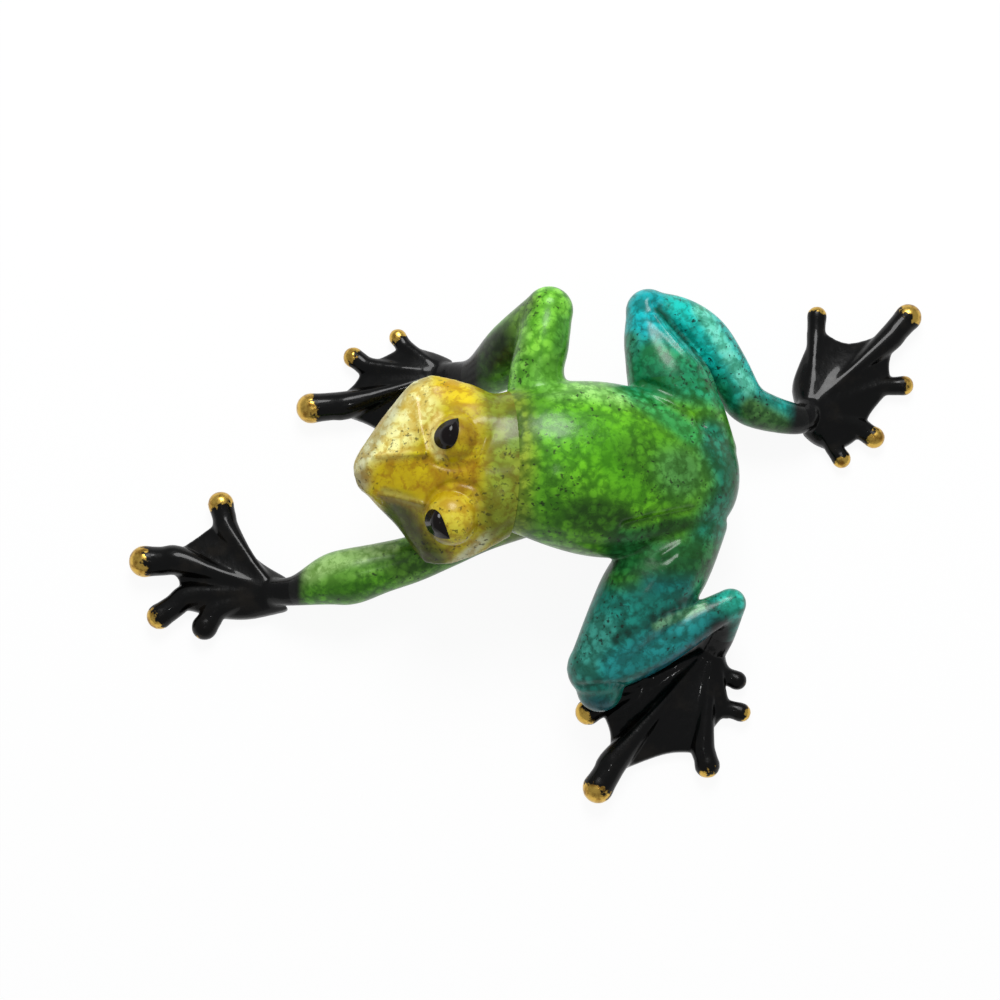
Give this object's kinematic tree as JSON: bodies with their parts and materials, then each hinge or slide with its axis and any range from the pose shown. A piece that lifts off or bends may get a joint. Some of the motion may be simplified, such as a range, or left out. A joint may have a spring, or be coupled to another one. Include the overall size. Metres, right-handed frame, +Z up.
{
  "type": "frog figurine",
  "caption": "Crawling tree frog figurine in cast bronze, with a mottled yellow, green and teal patina, black webbed hands and feet, bare bronze toe tips and inlaid black pupils.",
  "frame": {"origin": "on the surface the frog stands on, under the middle of its overall outline", "axes": "+Z up, the head towards -X, the frog's right side towards +Y"},
  "size_m": [0.1688, 0.107, 0.0378],
  "materials": {
    "yellow_patina": "mottled golden yellow patina with olive flecks under clear gloss lacquer",
    "green_patina": "mottled bright green patina with dark flecks under clear gloss lacquer",
    "teal_patina": "mottled green to turquoise patina with dark flecks under clear gloss lacquer",
    "black_patina": "black patina under clear gloss lacquer",
    "bare_bronze": "polished bare bronze",
    "joining_bronze": "turned bronze",
    "pupil_black": "polished black"
  },
  "bodies": {
    "root": {"torso": "green_patina", "head": "yellow_patina", "right_pupil": "pupil_black", "left_pupil": "pupil_black", "right_arm": "green_patina", "left_arm": "green_patina", "right_hand": "black_patina", "left_hand": "black_patina", "right_leg": "teal_patina", "left_leg": "teal_patina", "right_foot": "black_patina", "left_foot": "black_patina", "right_hand_toe_tips": "bare_bronze", "left_hand_toe_tips": "bare_bronze", "right_foot_toe_tips": "bare_bronze", "left_foot_toe_tips": "bare_bronze", "neck_sleeve": "joining_bronze", "right_shoulder_dowel": "joining_bronze", "left_shoulder_dowel": "joining_bronze", "right_wrist_dowel": "joining_bronze", "left_wrist_dowel": "joining_bronze", "right_hip_dowel": "joining_bronze", "left_hip_dowel": "joining_bronze", "right_ankle_dowel": "joining_bronze", "left_ankle_dowel": "joining_bronze", "belly_plug": "joining_bronze"}
  },
  "joints": []
}
